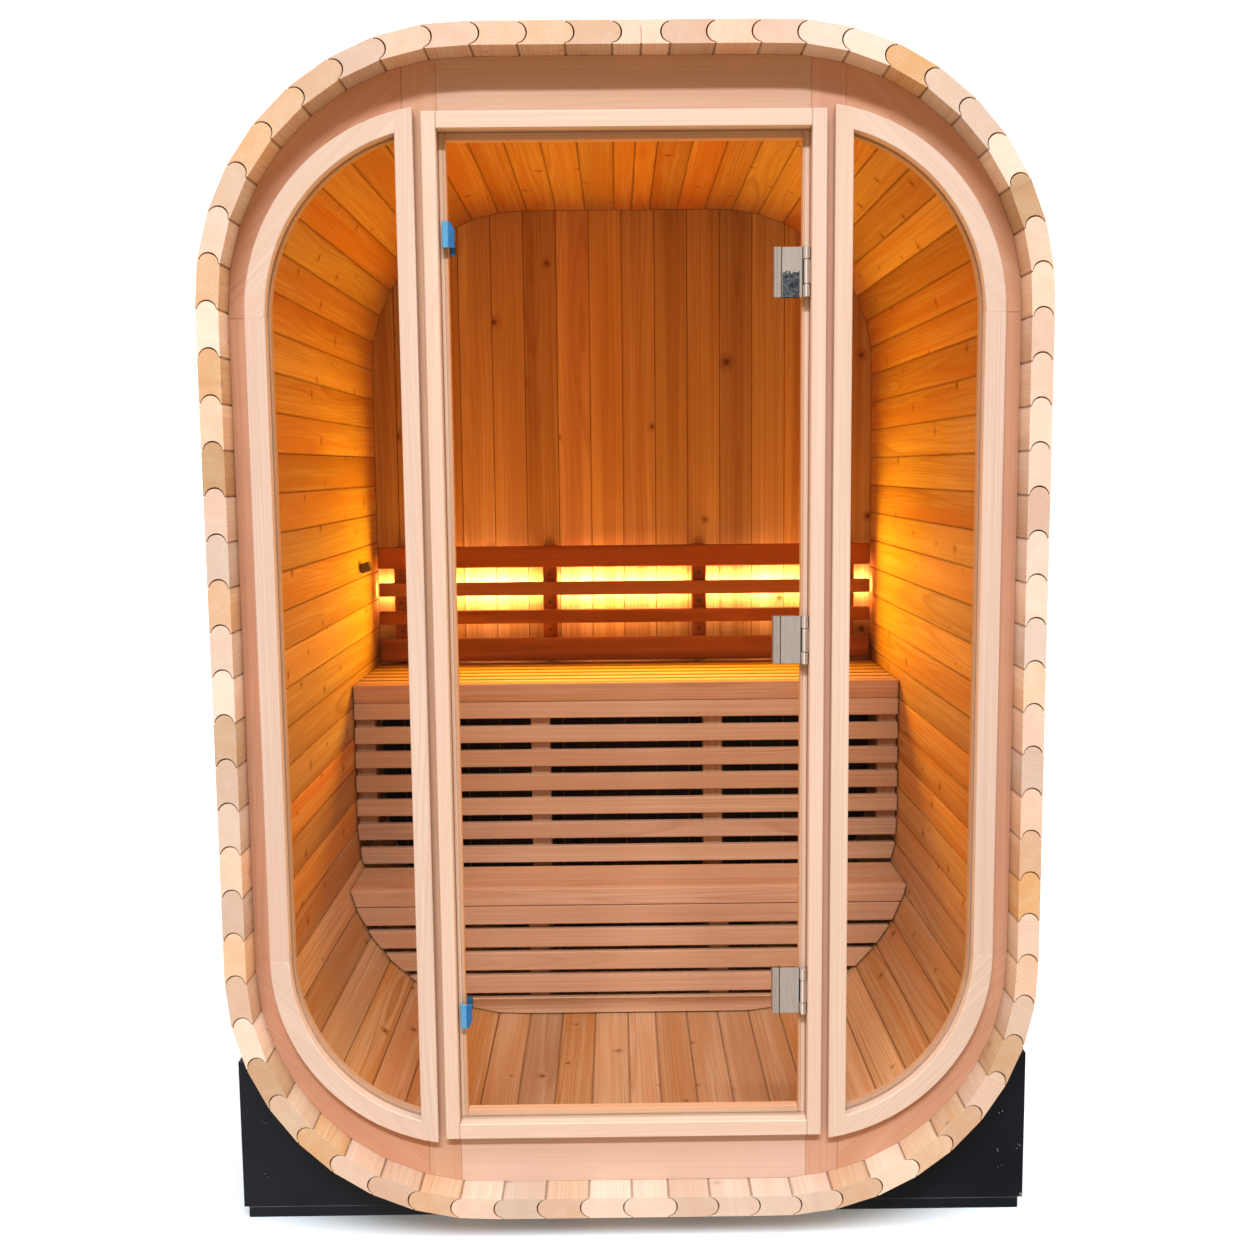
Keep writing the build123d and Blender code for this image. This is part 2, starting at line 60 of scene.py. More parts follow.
# settings are a node's properties and sockets, or a ramp's "stops" as (place, grey or hex). A link may name a
# node instead of a socket, and then takes its first output
def addNode(tree, kind, settings=None, links=None):
    node = tree.nodes.new("ShaderNode" + kind)
    for key, value in (settings or {}).items():
        if key == "stops":
            ramp = node.color_ramp.elements
            while len(ramp) < len(value):
                ramp.new(1.0)
            for element, (place, tone) in zip(ramp, value):
                element.position = place
                element.color = hexToLinear(tone) if isinstance(tone, str) else (tone, tone, tone, 1)
        elif isinstance(key, str) and key in node.bl_rna.properties:
            setattr(node, key, value)
        else:
            node.inputs[key].default_value = value
    for key, source in (links or {}).items():
        tree.links.new(source.outputs[0] if isinstance(source, bpy.types.Node) else source, node.inputs[key])
    return node


def newMaterial(name):
    material = bpy.data.materials.new(name)
    material.use_nodes = True
    material.node_tree.nodes.clear()
    return material, material.node_tree


times, plus, less = {"operation": "MULTIPLY"}, {"operation": "ADD"}, {"operation": "SUBTRACT"}
below, above = {"operation": "LESS_THAN"}, {"operation": "GREATER_THAN"}
lengthOf, unsigned = {"operation": "LENGTH"}, {"operation": "ABSOLUTE"}
rgba = {"data_type": "RGBA"}
stain = {"data_type": "RGBA", "blend_type": "MULTIPLY"}


# timber: one recipe, a dictionary for each cut. boardPos is millimetres from the board's own pith
def timber(cut):
    material, tree = newMaterial(cut["name"])
    pos = addNode(tree, "Attribute", {"attribute_name": "boardPos"}).outputs["Vector"]
    board = addNode(tree, "Attribute", {"attribute_name": "boardVary"}).outputs["Vector"]
    vary = addNode(tree, "SeparateXYZ", links={0: board}).outputs

    # growth rings: distance from a pith that wanders along the board
    stretch = (1 / cut["driftAlong"], 1 / cut["driftAcross"], 1 / cut["driftAcross"])
    slow = addNode(tree, "VectorMath", {**times, 1: stretch}, {0: pos})
    wander = addNode(tree, "TexNoise", {"Scale": 1.0, "Detail": 0.0}, {"Vector": slow}).outputs["Color"]
    wander = addNode(tree, "VectorMath", {**less, 1: (0.5, 0.5, 0.5)}, {0: wander})
    reach = (0, cut["drift"], cut["drift"])
    place = addNode(tree, "VectorMath", {"operation": "MULTIPLY_ADD", 1: reach}, {0: wander, 2: pos})
    place = addNode(tree, "VectorMath", {**times, 1: (0, 1, 1)}, {0: place})
    radius = addNode(tree, "VectorMath", lengthOf, {0: place}).outputs["Value"]

    # knots: one place in each cell of a grid, drawn only where the cell's number is high
    if cut["knotShare"]:
        bareShare = 1 - cut["knotShare"]
        cell = (cut["knotAlong"], cut["knotAcross"], 0)
        perCell = (1 / cell[0], 1 / cell[1], 0)
        grid = addNode(tree, "VectorMath", {**times, 1: perCell}, {0: pos})
        scatter = {"voronoi_dimensions": "2D", "Scale": 1.0, "Randomness": 0.85}
        spots = addNode(tree, "TexVoronoi", scatter, {"Vector": grid})
        away = addNode(tree, "VectorMath", less, {0: grid, 1: spots.outputs["Position"]})
        away = addNode(tree, "VectorMath", {**times, 1: cell}, {0: away})
        away = addNode(tree, "VectorMath", lengthOf, {0: away}).outputs["Value"]
        luck = addNode(tree, "SeparateColor", links={0: spots.outputs["Color"]})
        sizes = {1: bareShare, 3: cut["knotRadius"] * cut["knotLeast"], 4: cut["knotRadius"]}
        size = addNode(tree, "MapRange", sizes, {0: luck})
        chosen = addNode(tree, "Math", {**above, 1: bareShare}, {0: luck})
        size = addNode(tree, "Math", times, {0: size, 1: chosen})
        size = addNode(tree, "Math", {"operation": "MAXIMUM", 1: 0.02}, {0: size})
        ratio = addNode(tree, "Math", {"operation": "DIVIDE"}, {0: away, 1: size})
        fade = {"interpolation_type": "SMOOTHSTEP", 3: 1.0, 4: 0.0}
        knot = addNode(tree, "MapRange", {**fade, 1: cut["knotFade"][0], 2: cut["knotFade"][1]}, {0: ratio})
        halo = addNode(tree, "MapRange", {**fade, 1: cut["haloFade"][0], 2: cut["haloFade"][1]}, {0: ratio})
        swell = {"operation": "MULTIPLY_ADD", 1: cut["knotSwell"]}
        radius = addNode(tree, "Math", swell, {0: halo, 2: radius})

    # each ring darkens slowly and ends at once, and some years are stronger than others
    count = addNode(tree, "Math", {"operation": "DIVIDE", 1: cut["ring"]}, {0: radius})
    step = addNode(tree, "Math", {"operation": "FRACT"}, {0: count})
    late = addNode(tree, "ValToRGB", {"stops": cut["ringStops"]}, {0: step})
    years = addNode(tree, "TexNoise", {"noise_dimensions": "1D", "Scale": 0.31, "Detail": 0.0}, {"W": count})
    years = addNode(tree, "MapRange", {1: 0.35, 2: 0.7, 3: 0.25, 4: 1.0}, {0: years})
    rings = addNode(tree, "Math", times, {0: late, 1: years})

    # streaks and heartwood run with the grain, the fibre is drawn 2 mm wide so that it shows at all
    stretch = (1 / cut["streakLong"], 1 / cut["streakWide"], 1 / cut["streakWide"])
    long = addNode(tree, "VectorMath", {**times, 1: stretch}, {0: pos})
    streak = addNode(tree, "TexNoise", {"Scale": 1.0, "Detail": 2.0, "Roughness": 0.62}, {"Vector": long})
    streak = addNode(tree, "MapRange", {1: 0.34, 2: 0.68, 3: 0.0, 4: 1.0}, {0: streak})
    stretch = (1 / cut["heartLong"], 1 / cut["heartWide"], 1 / cut["heartWide"])
    broad = addNode(tree, "VectorMath", {**times, 1: stretch}, {0: pos})
    heart = addNode(tree, "TexNoise", {"Scale": 1.0, "Detail": 0.0}, {"Vector": broad})
    heart = addNode(tree, "MapRange", {"interpolation_type": "SMOOTHSTEP", 1: 0.42, 2: 0.66}, {0: heart})
    stretch = (1 / cut["fibreLong"], 1 / cut["fibreWide"], 1 / cut["fibreWide"])
    fine = addNode(tree, "VectorMath", {**times, 1: stretch}, {0: pos})
    fibre = addNode(tree, "TexNoise", {"Scale": 1.0, "Detail": 0.0}, {"Vector": fine})

    share = addNode(tree, "Math", {**times, 1: cut["contrast"]}, {0: rings})
    pair = {6: hexToLinear(cut["early"]), 7: hexToLinear(cut["late"])}
    colour = addNode(tree, "Mix", {**rgba, **pair}, {0: share}).outputs[2]
    layers = [(streak, "streaks", "streak"), (heart, "hearts", "heart")]
    if cut["knotShare"]:
        layers.append((halo, "haloShare", "late"))
    for mask, amount, tone in layers:
        share = addNode(tree, "Math", {**times, 1: cut[amount]}, {0: mask})
        colour = addNode(tree, "Mix", {**rgba, 7: hexToLinear(cut[tone])}, {0: share, 6: colour}).outputs[2]
    if cut["knotShare"]:
        colour = addNode(tree, "Mix", {**rgba, 7: hexToLinear(cut["knot"])}, {0: knot, 6: colour}).outputs[2]

    if "end" in cut:  # sawn ends, and the lips beyond the end walls, are paler than the planed faces
        facing = addNode(tree, "NewGeometry").outputs["True Normal"]
        facing = addNode(tree, "SeparateXYZ", links={0: facing}).outputs[1]
        facing = addNode(tree, "Math", unsigned, {0: facing})
        bounds = {1: cut["endFacing"][0], 2: cut["endFacing"][1], 4: cut["endShare"]}
        ends = addNode(tree, "MapRange", bounds, {0: facing})
        spot = addNode(tree, "TexCoord").outputs["Object"]
        depth = addNode(tree, "SeparateXYZ", links={0: spot}).outputs[1]
        depth = addNode(tree, "Math", unsigned, {0: depth})
        beyond = addNode(tree, "MapRange", {1: cut["oilEnd"] - 2 * mm, 2: cut["oilEnd"]}, {0: depth})
        inner = addNode(tree, "Attribute", {"attribute_name": "boardInside"}).outputs["Fac"]
        within = addNode(tree, "Math", {**above, 1: 0.1}, {0: inner})
        lips = addNode(tree, "Math", times, {0: beyond, 1: within})
        lips = addNode(tree, "Math", {**times, 1: cut["lipShare"]}, {0: lips})
        share = addNode(tree, "Math", {"operation": "MAXIMUM"}, {0: ends, 1: lips})
        tan = addNode(tree, "MapRange", {1: cut["tanFrom"], 2: cut["tanTo"]}, {0: vary[1]})
        pair = {6: hexToLinear(cut["end"]), 7: hexToLinear(cut["endTan"])}
        sawn = addNode(tree, "Mix", {**rgba, **pair}, {0: tan}).outputs[2]
        colour = addNode(tree, "Mix", rgba, {0: share, 6: colour, 7: sawn}).outputs[2]

    # every board has its own tone, hue and richness
    spread = {3: 0.5 - cut["hueSpread"], 4: 0.5 + cut["hueSpread"]}
    hue = addNode(tree, "MapRange", spread, {0: vary[1]})
    spread = {"clamp": False, 3: 1 - cut["richSpread"], 4: 1 + cut["richSpread"]}
    rich = addNode(tree, "MapRange", spread, {0: vary[2]})
    spread = {"clamp": False, 3: 1 - cut["toneSpread"], 4: 1 + cut["toneSpread"] * cut["toneLift"]}
    light = addNode(tree, "MapRange", spread, {0: vary[0]})
    own = {"Hue": hue, "Saturation": rich, "Value": light, "Color": colour}
    colour = addNode(tree, "HueSaturation", links=own)

    if "oil" in cut:  # the cabin side of the shell looks oiled, its ends and outside are taken as bare
        share = addNode(tree, "Math", {**less, "use_clamp": True}, {0: inner, 1: beyond})
        oil = {**stain, 7: hexToLinear(cut["oil"])}
        colour = addNode(tree, "Mix", oil, {0: share, 6: colour}).outputs[2]
    if "shade" in cut:  # painted shade: the colour is darker below the seat, on the cabin side, for the deep shade behind the bench skirts
        spot = addNode(tree, "TexCoord").outputs["Object"]
        axes = addNode(tree, "SeparateXYZ", links={0: spot}).outputs
        under = addNode(tree, "Math", {**below, 1: cut["shadeTop"]}, {0: axes[2]})
        cabin = addNode(tree, "Math", {**below, 1: cut["shadeBack"]}, {0: axes[1]})
        share = addNode(tree, "Math", times, {0: under, 1: cabin})
        shade = {**stain, 7: hexToLinear(cut["shade"])}
        colour = addNode(tree, "Mix", shade, {0: share, 6: colour}).outputs[2]
    spread = {3: cut["rough"] + cut["roughSpread"], 4: cut["rough"] - cut["roughSpread"]}
    rough = addNode(tree, "MapRange", spread, {0: rings})
    relief = {"Strength": cut["bump"], "Distance": cut["fibreDeep"] * mm}
    normal = addNode(tree, "Bump", relief, {"Height": fibre})
    surface = {"Base Color": colour, "Roughness": rough, "Normal": normal}
    shader = addNode(tree, "BsdfPrincipled", {"IOR": 1.5, "Specular IOR Level": 0.3}, surface)
    addNode(tree, "OutputMaterial", links={"Surface": shader})
    return material


# sizes are in mm, shares from 0 to 1
softwood = {
    "ringStops": [(0, 0.1), (0.45, 0.12), (0.86, 1.0), (1.0, 0.15)],
    "ring": 3.6, "drift": 26, "driftAlong": 650, "driftAcross": 110, "streakLong": 320, "streakWide": 5,
    "heartLong": 900, "heartWide": 34, "hearts": 0.5, "haloShare": 0.5, "fibreLong": 70, "fibreWide": 2,
    "knotAlong": 230, "knotAcross": 78, "knotShare": 0.5, "knotRadius": 7, "knotLeast": 0.4, "knotSwell": 5,
    "knotFade": (0.3, 1.25), "haloFade": (0.8, 3.2),
    "contrast": 0.6, "streaks": 0.45, "hueSpread": 0.006, "richSpread": 0.12, "toneSpread": 0.14,
    "toneLift": 0.6, "rough": 0.56, "roughSpread": 0.06, "bump": 0.35, "fibreDeep": 0.3, "knot": "#925e36",
}

# hemlock, planed: straw-coloured faces that differ from board to board, with brown rings, warm heartwood and
# small knots, honey-coloured where the cabin side is oiled, and pinkish sawn ends, some pale and some tan
staveTimber = timber({
    **softwood, "name": "planed hemlock staves", "early": "#f3dac0", "late": "#bd8450", "streak": "#d9a16a",
    "heart": "#dfa66e", "streaks": 0.62, "toneSpread": 0.22, "richSpread": 0.28, "ring": 6.0,
    "contrast": 0.72, "knotShare": 0.4, "oil": "#fdeec2", "oilEnd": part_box("back_wall")[1].y,
    "end": "#f3e0d6", "endShare": 0.66, "endFacing": (0.8, 0.95), "lipShare": 0.5,
    "endTan": "#d6b498", "tanFrom": 0.45, "tanTo": 0.95,
})
# the eased edges gather oil and dust, and carry painted shade: thin dark lines between the boards
jointShadeTimber = timber({
    **softwood, "name": "oiled hemlock edges", "early": "#86531f", "late": "#5c3612", "streak": "#71421b",
    "heart": "#673b16", "knotShare": 0.0, "hearts": 0.3,
})
# the lining's joints are tighter and cleaner: brown lines of painted shade that fade where the boards are
# dark; the upper bench slats' eased edges carry the same painted shade
veeShadeTimber = timber({
    **softwood, "name": "planed cedar joints", "early": "#a8763f", "late": "#7d5024", "streak": "#8d5e30",
    "heart": "#8a5a2c", "knotShare": 0.0,
})
# hemlock, sanded: an even pink-brown panel with faint straight grain and no knots
panelTimber = timber({
    **softwood, "name": "sanded hemlock panel", "early": "#d9ac92", "late": "#bd8768", "streak": "#c69178",
    "heart": "#cf9b80", "knotShare": 0.0, "contrast": 0.34, "toneSpread": 0.05, "richSpread": 0.08,
    "ring": 4.5, "streakLong": 420, "streakWide": 4,
})
# hemlock, moulded and sanded: nearly white with a pink cast, straight fine grain
trimTimber = timber({
    **softwood, "name": "moulded hemlock trim", "early": "#ecd8cc", "late": "#d1ad99", "streak": "#dabdab",
    "heart": "#e3c9b8", "knotShare": 0.0, "contrast": 0.42, "toneSpread": 0.04, "richSpread": 0.05,
    "ring": 3.4, "streaks": 0.6, "streakLong": 600, "streakWide": 3.5,
})
# red cedar, planed tongue-and-groove: golden brown boards of clearly different tone, streaks, brown knots
linerTimber = timber({
    **softwood, "name": "planed cedar lining", "early": "#fbdea6", "late": "#c29056", "streak": "#d09e64",
    "heart": "#c48c52", "hearts": 0.45, "heartLong": 1600, "heartWide": 50, "toneSpread": 0.3,
    # painted shade below the seat, on the cabin side
    "contrast": 0.7, "shade": "#4a4038", "shadeTop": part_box("upper_bench_slats")[0].z,
    "shadeBack": sum(c.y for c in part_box("back_wall")) / 2,
    "knotShare": 0.42, "knotRadius": 12, "knotAlong": 420, "knotAcross": 92, "knotSwell": 9, "haloShare": 0.7,
    "knot": "#87542b", "ring": 4.6, "streaks": 0.6, "streakLong": 900, "streakWide": 6,
})
# hemlock, planed slats: warm pinkish brown, straight grain, edges eased by hand
benchTimber = timber({
    **softwood, "name": "planed hemlock slats", "early": "#edd0ba", "late": "#bf9070", "streak": "#cda386",
    "heart": "#dbb295", "knotShare": 0.0, "contrast": 0.55, "toneSpread": 0.1, "ring": 3.0,
    "streaks": 0.6, "streakLong": 600, "streakWide": 3.5,
})
# red cedar, planed: dark red-brown rails, straight grain
railTimber = timber({
    **softwood, "name": "planed cedar rails", "early": "#ba744a", "late": "#8a4c28", "streak": "#9c5a32",
    "heart": "#814825", "knotShare": 0.0, "contrast": 0.5, "toneSpread": 0.1, "ring": 3.0, "streakLong": 600,
})
print("timber mixed")


# boards: each loose piece of a solid is one board, with its own grain place and tone
def islandsOf(bm):
    left = set(bm.verts)
    found = []
    while left:
        start = min(left, key=lambda v: v.index)
        left.discard(start)
        group, queue = [], [start]
        while queue:
            vert = queue.pop()
            group.append(vert)
            for edge in vert.link_edges:
                other = edge.other_vert(vert)
                if other in left:
                    left.discard(other)
                    queue.append(other)
        found.append(group)
    return found


def easeEdges(bm, ease, rounds=1):
    sharp = [e for e in bm.edges if len(e.link_faces) == 2 and e.calc_face_angle(0) > edgeAngle]
    if not ease or not sharp:
        return
    cut = bmesh.ops.bevel(bm, geom=sharp, offset=ease, segments=rounds, profile=0.5, affect="EDGES",
                          clamp_overlap=True)
    for face in cut["faces"]:
        face.material_index = 1  # used only where a piece has a second finish for its edges


def easedCopy(names, ease):
    bm = bmesh.new()
    for name in names:
        bm.from_mesh(nodes[name].data)
    bmesh.ops.remove_doubles(bm, verts=bm.verts, dist=weldGap)
    bmesh.ops.dissolve_limit(bm, angle_limit=flatAngle, verts=bm.verts, edges=bm.edges)
    easeEdges(bm, ease)
    return bm


# small turned fixings: a closed solid from (radius, height) steps, star-shaped where a third number says so
def turnedSolid(bm, centre, outward, steps, sides=12):
    axis = Vector(outward)
    side = axis.orthogonal().normalized()
    rise = axis.cross(side)
    loops = []
    for radius, height, *star in steps:
        loop = []
        for k in range(sides):
            reach = radius * (star[0] if star and k % 2 else 1) * mm
            turn = 2 * math.pi * k / sides
            spoke = side * math.cos(turn) + rise * math.sin(turn)
            loop.append(bm.verts.new(Vector(centre) + axis * height * mm + spoke * reach))
        loops.append(loop)
    for low, high in zip(loops, loops[1:]):
        for k in range(sides):
            bm.faces.new((low[k - 1], low[k], high[k], high[k - 1]))
    bm.faces.new(loops[0][::-1])
    bm.faces.new(loops[-1])


def shellDepth(co):  # how far a point lies in from the shell's outer face
    across = abs(co.x) - shell["cornerX"] * mm
    up = abs(co.z - shell["axisZ"] * mm) - shell["cornerZ"] * mm
    if across > 0 and up > 0:
        return shell["corner"] * mm - math.hypot(across, up)
    return shell["corner"] * mm - max(across, up)


def markInside(bm, oiled):
    layer = bm.verts.layers.float.new("boardInside")
    middle = shell["thickness"] * mm / 2
    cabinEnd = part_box("back_wall")[1].y
    for v in bm.verts:
        v[layer] = oiled if shellDepth(v.co) > middle else 0.0
    for face in bm.faces:  # only the joints inside the cabin are dark, with dirt and painted shade
        at = face.calc_center_median()
        if face.material_index and (shellDepth(at) < middle or abs(at.y) > cabinEnd):
            face.material_index = 0


pithOffsets = {"along": 9000, "across": 75, "deep": (8, 30, 70, 130)}  # mm, drawn for each board


def markBoards(bm, grain, seed, board=None):
    draw = random.Random(seed)
    posLayer = bm.verts.layers.float_vector.new("boardPos")
    varyLayer = bm.verts.layers.float_vector.new("boardVary")
    bm.verts.index_update()
    for group in islandsOf(bm):
        centre = sum((v.co for v in group), Vector()) / len(group)
        along = (grain(centre) if callable(grain) else Vector(grain)).normalized()
        side = along.orthogonal().normalized()
        rise = along.cross(side)
        flat = [((v.co - centre).dot(side), (v.co - centre).dot(rise)) for v in group]
        turn = 0.5 * math.atan2(2 * sum(a * b for a, b in flat), sum(a * a - b * b for a, b in flat))
        wide = side * math.cos(turn) + rise * math.sin(turn)
        thick = along.cross(wide)
        far = draw.uniform(0, pithOffsets["along"])
        across = draw.uniform(-pithOffsets["across"], pithOffsets["across"])
        deep = draw.choice((-1, 1)) * draw.choice(pithOffsets["deep"])
        pith = Vector((far, across, deep))
        vary = Vector((draw.random(), draw.random(), draw.random()))
        if board:  # some boards were picked for their tone and richness
            vary = Vector((board[0], vary.y, board[1]))
        for v in group:
            d = (v.co - centre) / mm
            v[posLayer] = Vector((d.dot(along), d.dot(wide), d.dot(thick))) + pith
            v[varyLayer] = vary


def makePiece(bm, name, body, material, replaced):
    mesh = bpy.data.meshes.new(name)
    bm.to_mesh(mesh)
    bm.free()
    mesh.polygons.foreach_set("use_smooth", [True] * len(mesh.polygons))
    mesh.set_sharp_from_angle(angle=smoothAngle)
    finishes = material if isinstance(material, list) else [material]
    for finish in finishes:
        mesh.materials.append(finish)
    for polygon in mesh.polygons:
        polygon.material_index = min(polygon.material_index, len(finishes) - 1)
    piece = bpy.data.objects.new(name, mesh)
    scene.collection.objects.link(piece)
    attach(piece, body)
    if replaced:
        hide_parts(*replaced)
    return piece


def widenRim(bm, step):  # the faces that look into the opening step further in
    low = Vector([min(v.co[i] for v in bm.verts) for i in range(3)])
    high = Vector([max(v.co[i] for v in bm.verts) for i in range(3)])
    moves = {}
    for face in bm.faces:
        toMiddle = (low + high) / 2 - face.calc_center_median()
        if abs(face.normal.y) < 0.3 and face.normal.dot(toMiddle) > 0:
            for v in face.verts:
                moves.setdefault(v, []).append(face.normal.copy())
    for v, normals in moves.items():
        v.co += sum(normals, Vector()).normalized() * step


def timberPiece(p):
    bm = easedCopy(p["solids"], 0)
    if "widen" in p:
        widenRim(bm, p["widen"] * mm)
    easeEdges(bm, p["ease"] * mm, p.get("rounds", 1))
    if "oiled" in p:
        markInside(bm, p["oiled"])
    markBoards(bm, p["grain"], p["seed"], p.get("board"))
    return makePiece(bm, p["name"], "sauna", p["finish"], p["solids"])


acrossX, alongY, upZ = (1, 0, 0), (0, 1, 0), (0, 0, 1)
shell = {"corner": 475, "cornerX": 275, "cornerZ": 605, "axisZ": 1120, "thickness": 40}
staves = {
    "ease": 0.65, "seed": 41, "floorOil": 0.35,
    "parts": ["roof", "roof_corner_left", "roof_corner_right", "wall_left", "wall_right",
              "floor_corner_left", "floor_corner_right", "floor"],
}
for k, part in enumerate(staves["parts"]):
    timberPiece({"name": part + "_stave_boards", "solids": [part + "_staves"], "ease": staves["ease"],
                 "grain": alongY, "seed": staves["seed"] + k, "finish": [staveTimber, jointShadeTimber],
                 "slot": "stave_wood", "oiled": staves["floorOil"] if "floor" in part else 1.0})
print("shell staved")

# front wall: curved segments are cut from diagonal stock, the rest follows its length
frontWall = {"ease": 0.5, "seed": 71, "trimSeed": 91, "uprightTo": 400, "stileFrom": 200}


def segmentGrain(centre):
    height = centre.z - shell["axisZ"] * mm
    if abs(height) < frontWall["uprightTo"] * mm:
        return Vector(upZ)
    return Vector((1, 0, 1 if centre.x * height < 0 else -1))


def railGrain(centre):
    return Vector(upZ) if abs(centre.x) > frontWall["stileFrom"] * mm else Vector(acrossX)


# (piece, solid, grain, changes), where board is the tone and richness of a board that was picked
frontBoards = [
    ("header_board", "front_wall_header", acrossX, {"board": (0.3, -0.3)}),
    ("sill_board", "front_wall_sill", acrossX, {"board": (1.8, -1.3)}),
    ("mullion_boards", "front_wall_mullions", upZ, {}),
    ("left_panel_segments", "front_wall_left", segmentGrain, {"board": (0.5, 1.1)}),
    ("right_panel_segments", "front_wall_right", segmentGrain, {"board": (0.4, 0.9)}),
]
for k, (name, solid, grain, changes) in enumerate(frontBoards):
    timberPiece({"name": name, "solids": [solid], "grain": grain, "finish": panelTimber,
                 "ease": frontWall["ease"], "seed": frontWall["seed"] + k, "slot": "front_wall_wood",
                 **changes})

trims = [
    ("door_frame_trim", "door_trim", railGrain, {"ease": 1.6}),
    ("door_stop_beads", "door_stops", railGrain, {"ease": 1.2, "board": (3.2, 3.0)}),
    ("left_window_rim", "window_trim_left", segmentGrain, {"ease": 1.6, "widen": 3.0}),
    ("right_window_rim", "window_trim_right", segmentGrain, {"ease": 1.6, "widen": 3.0}),
    ("left_window_bead", "window_bead_left", upZ, {"ease": 1.0}),
    ("right_window_bead", "window_bead_right", upZ, {"ease": 1.0}),
]
for k, (name, solid, grain, changes) in enumerate(trims):
    timberPiece({"name": name, "solids": [solid], "grain": grain, "finish": trimTimber,
                 "seed": frontWall["trimSeed"] + k, "slot": "trim_wood", **changes})
print("front wall framed")

# back wall: upright tongue-and-groove boards with a small V at each joint
lining = {"pitch": 92, "vee": 1.3, "seed": 131}


def keepSide(bm, x, direction):
    geom = bm.verts[:] + bm.edges[:] + bm.faces[:]
    bmesh.ops.bisect_plane(bm, geom=geom, plane_co=(x, 0, 0), plane_no=(direction, 0, 0), clear_inner=True)
    bmesh.ops.holes_fill(bm, edges=[e for e in bm.edges if e.is_boundary], sides=0)


def liningBoards():
    whole = bmesh.new()
    low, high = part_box("back_wall")
    pitch = lining["pitch"] * mm
    count = math.ceil((high.x - low.x) / pitch)
    first = -count * pitch / 2
    for k in range(count):
        bm = easedCopy(["back_wall"], 0)
        if k > 0:
            keepSide(bm, first + k * pitch, 1)
        if k < count - 1:
            keepSide(bm, first + (k + 1) * pitch, -1)
        bmesh.ops.recalc_face_normals(bm, faces=bm.faces)
        easeEdges(bm, lining["vee"] * mm)
        board = bpy.data.meshes.new("lining")
        bm.to_mesh(board)
        bm.free()
        whole.from_mesh(board)
        bpy.data.meshes.remove(board)
    markBoards(whole, upZ, lining["seed"])
    finish = [linerTimber, veeShadeTimber]
    return makePiece(whole, "lining_boards", "sauna", finish, ["back_wall"])


backBoards = liningBoards()

# benches and backrest: (piece, solid, grain, finish, changes)
benches = {"ease": 2.0, "seed": 161}
benchBoards = [
    ("backrest_rail_boards", "backrest_rails", acrossX, railTimber, {}),
    ("backrest_batten_posts", "backrest_battens", upZ, railTimber, {}),
    # the slats' eased edges take the painted joint shade
    ("upper_bench_boards", "upper_bench_slats", acrossX, [benchTimber, veeShadeTimber],
     {"ease": 4.0, "rounds": 2, "board": (0.0, 0.8)}),
    ("upper_bench_front", "upper_bench_apron", acrossX, benchTimber, {"board": (0.0, 1.6)}),
    ("upper_bench_grille", "upper_bench_skirt", acrossX, benchTimber, {}),
    ("upper_bench_bearers", "upper_bench_frame", upZ, benchTimber, {}),
    ("lower_bench_boards", "lower_bench_slats", acrossX, benchTimber, {}),
    ("lower_bench_front", "lower_bench_apron", acrossX, benchTimber, {"board": (1.5, 0.3)}),
    ("lower_bench_grille", "lower_bench_skirt", acrossX, benchTimber, {"board": (1.2, 0.4)}),
    ("lower_bench_bearers", "lower_bench_frame", upZ, benchTimber, {}),
]
for k, (name, solid, grain, finish, changes) in enumerate(benchBoards):
    timberPiece({"name": name, "solids": [solid], "grain": grain, "finish": finish, "ease": benches["ease"],
                 "seed": benches["seed"] + k, "slot": "bench_wood", **changes})
print("cabin fitted")


# glass: toughened clear float, polished. Clear in the middle, with ground edges that look faintly green
def clearGlass(name, tint, rough, index):
    material, tree = newMaterial(name)
    through = addNode(tree, "BsdfTransparent", {"Color": hexToLinear(tint)})
    gloss = addNode(tree, "BsdfGlossy", {"Roughness": rough, "Color": (1, 1, 1, 1)})
    share = addNode(tree, "Fresnel", {"IOR": index})
    outer = addNode(tree, "MixShader", links={0: share, 1: through, 2: gloss})
    # from within, the far face lets all through
    clear = addNode(tree, "BsdfTransparent", {"Color": (1, 1, 1, 1)})
    inside = addNode(tree, "NewGeometry").outputs["Backfacing"]
    mixed = addNode(tree, "MixShader", links={0: inside, 1: outer, 2: clear})
    addNode(tree, "OutputMaterial", links={"Surface": mixed})
    return material


glazing = {"ease": 0.8, "thin": 0.25, "faceFrom": 0.9}
glassFinishes = [clearGlass("toughened clear glass", "#f1e7de", 0.02, 1.15),
                 clearGlass("ground glass edge", "#b4d2c4", 0.35, 1.5)]
panes = [
    ("left_window_pane", "window_glass_left", "sauna"),
    ("right_window_pane", "window_glass_right", "sauna"),
    ("door_pane", "door_glass", "door"),
]
for name, solid, body in panes:
    bm = easedCopy([solid], glazing["ease"] * mm)
    low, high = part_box(solid)
    for v in bm.verts:  # just clear of the bead and the hinge plates, so that no two faces coincide
        v.co.y += glazing["thin"] * mm * (1 if v.co.y < (low.y + high.y) / 2 else -1)
    for face in bm.faces:
        face.material_index = 0 if abs(face.normal.y) > glazing["faceFrom"] else 1
    makePiece(bm, name, body, glassFinishes, [solid])


# hinges: stainless sheet, rolled and brushed along its length, a soft warm grey. Sizes are in mm
steelFinish = {"strokeWide": 0.8, "strokeLong": 40, "mottle": 5, "tear": 14}


